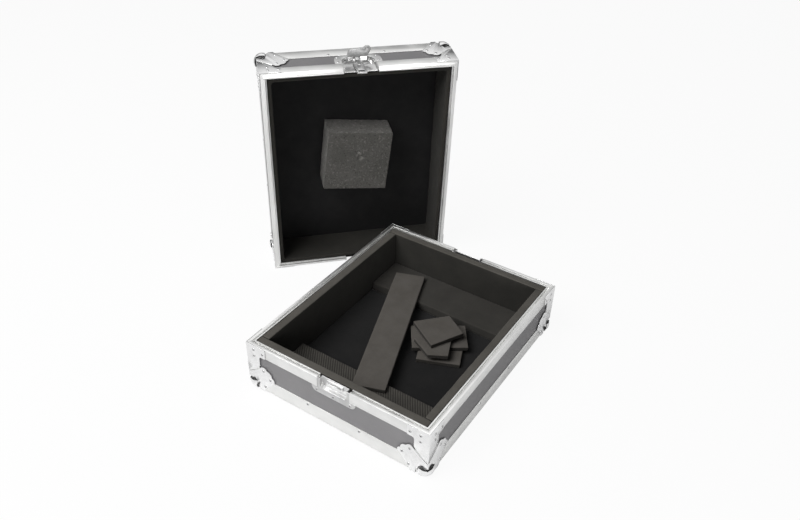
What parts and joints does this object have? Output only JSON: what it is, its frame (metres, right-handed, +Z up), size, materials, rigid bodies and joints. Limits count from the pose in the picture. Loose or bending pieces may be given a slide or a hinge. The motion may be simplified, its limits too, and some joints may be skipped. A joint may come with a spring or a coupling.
{
  "type": "turntable case",
  "caption": "Road case for a turntable: laminate panels in aluminium edging with steel ball corners, foam fittings and a lift-off lid with turning latches.",
  "frame": {"origin": "on the floor, under the middle of the box round the base and the standing lid", "axes": "+Z up through the open base, +Y along its long side towards the back, +X along its short side to the right"},
  "size_m": [0.7068, 0.6988, 0.5327],
  "materials": {
    "aluminium": "satin anodised extrusion",
    "corner_steel": "bright zinc-plated pressing",
    "chrome": "bright plated pressing",
    "wing_steel": "satin",
    "laminate": "grey plastic laminate on plywood, fine texture",
    "wall_foam": "charcoal open foam",
    "loose_foam": "charcoal speckled foam",
    "lining": "black lining",
    "moulding": "black moulded grip"
  },
  "bodies": {
    "base": {"base_floor_panel": "laminate", "base_wall_front": "laminate", "base_wall_back": "laminate", "base_wall_left": "laminate", "base_wall_right": "laminate", "base_edge_angles": "aluminium", "base_rim_left": "aluminium", "base_rim_right": "aluminium", "base_ball_corner_front_left": "corner_steel", "base_ball_corner_front_right": "corner_steel", "base_ball_corner_back_right": "corner_steel", "base_ball_corner_back_left": "corner_steel", "base_corner_brace_front_left": "corner_steel", "base_corner_brace_front_right": "corner_steel", "base_corner_brace_back_right": "corner_steel", "base_corner_brace_back_left": "corner_steel", "base_floor_liner": "lining", "base_foam_front": "wall_foam", "base_foam_back": "wall_foam", "base_foam_left": "wall_foam", "base_foam_right": "wall_foam", "foam_ledge_front": "wall_foam", "foam_ledge_back": "wall_foam", "keeper_dish_front": "chrome", "keeper_dish_back": "chrome", "handle_bracket_front": "chrome", "handle_bracket_back": "chrome"},
    "lid": {"lid_top_panel": "laminate", "lid_wall_front": "laminate", "lid_wall_back": "laminate", "lid_wall_left": "laminate", "lid_wall_right": "laminate", "lid_edge_angles": "aluminium", "lid_rim_left": "aluminium", "lid_rim_right": "aluminium", "lid_ball_corner_front_left": "corner_steel", "lid_ball_corner_front_right": "corner_steel", "lid_ball_corner_back_right": "corner_steel", "lid_ball_corner_back_left": "corner_steel", "lid_corner_brace_front_left": "corner_steel", "lid_corner_brace_front_right": "corner_steel", "lid_corner_brace_back_right": "corner_steel", "lid_corner_brace_back_left": "corner_steel", "lid_foam_lining": "wall_foam", "lid_foam_block": "loose_foam", "latch_dish_upper": "chrome", "latch_dish_lower": "chrome"},
    "latch_upper_spindle": {"latch_spindle_upper": "chrome"},
    "latch_upper_wing": {"latch_wing_upper": "wing_steel"},
    "latch_upper_hook": {"latch_hook_upper": "chrome"},
    "latch_lower_spindle": {"latch_spindle_lower": "chrome"},
    "latch_lower_wing": {"latch_wing_lower": "wing_steel"},
    "latch_lower_hook": {"latch_hook_lower": "chrome"},
    "handle": {"handle_grip": "moulding"},
    "strip": {"foam_strip": "loose_foam"},
    "pad_1": {"foam_pad_1": "loose_foam"},
    "pad_2": {"foam_pad_2": "loose_foam"},
    "pad_3": {"foam_pad_3": "loose_foam"},
    "pad_4": {"foam_pad_4": "loose_foam"}
  },
  "joints": [
    {"name": "lid_lift", "type": "slide", "parent": "base", "child": "lid", "axis": [0, 0, 1], "range_m": [0, 0.4]},
    {"name": "upper_spindle_turn", "type": "hinge", "parent": "lid", "child": "latch_upper_spindle", "pos_m": [-0.14517, 0.13761, 0.5046], "axis": [0.0393, -0.0377, 0.9985], "range_deg": [0, 180]},
    {"name": "upper_wing_fold", "type": "hinge", "parent": "latch_upper_spindle", "child": "latch_upper_wing", "pos_m": [-0.15174, 0.14391, 0.5031], "axis": [-0.6921, -0.7218, 0], "range_deg": [-90, 0]},
    {"name": "upper_hook_draw", "type": "slide", "parent": "lid", "child": "latch_upper_hook", "axis": [0.7207, -0.6911, -0.0545], "range_m": [-0.005, 0]},
    {"name": "lower_spindle_turn", "type": "hinge", "parent": "lid", "child": "latch_lower_spindle", "pos_m": [-0.1649, 0.15654, 0.00335], "axis": [-0.0393, 0.0377, -0.9985], "range_deg": [0, 180]},
    {"name": "lower_wing_fold", "type": "hinge", "parent": "latch_lower_spindle", "child": "latch_lower_wing", "pos_m": [-0.17131, 0.16268, 0.00584], "axis": [0.6921, 0.7218, 0], "range_deg": [0, 90]},
    {"name": "lower_hook_draw", "type": "slide", "parent": "lid", "child": "latch_lower_hook", "axis": [0.7207, -0.6911, -0.0545], "range_m": [-0.005, 0]},
    {"name": "handle_swing", "type": "hinge", "parent": "base", "child": "handle", "pos_m": [-0.07456, -0.09241, 0.077], "axis": [0, 1, 0], "range_deg": [0, 95]},
    {"name": "strip_lift", "type": "slide", "parent": "base", "child": "strip", "axis": [0, 0, 1], "range_m": [0, 0.15]},
    {"name": "pad_1_lift", "type": "slide", "parent": "base", "child": "pad_1", "axis": [0, 0, 1], "range_m": [0, 0.12]},
    {"name": "pad_2_lift", "type": "slide", "parent": "pad_1", "child": "pad_2", "axis": [0, 0, 1], "range_m": [0, 0.06]},
    {"name": "pad_3_lift", "type": "slide", "parent": "pad_2", "child": "pad_3", "axis": [0, 0, 1], "range_m": [0, 0.06]},
    {"name": "pad_4_lift", "type": "slide", "parent": "pad_3", "child": "pad_4", "axis": [0, 0, 1], "range_m": [0, 0.06]}
  ],
  "couplings": [
    {"joint": "upper_hook_draw", "follows": "upper_spindle_turn", "m_per_rad": -0.0015915},
    {"joint": "lower_spindle_turn", "follows": "lower_wing_fold", "ratio": 2},
    {"joint": "lower_hook_draw", "follows": "lower_wing_fold", "m_per_rad": -0.0031831}
  ]
}
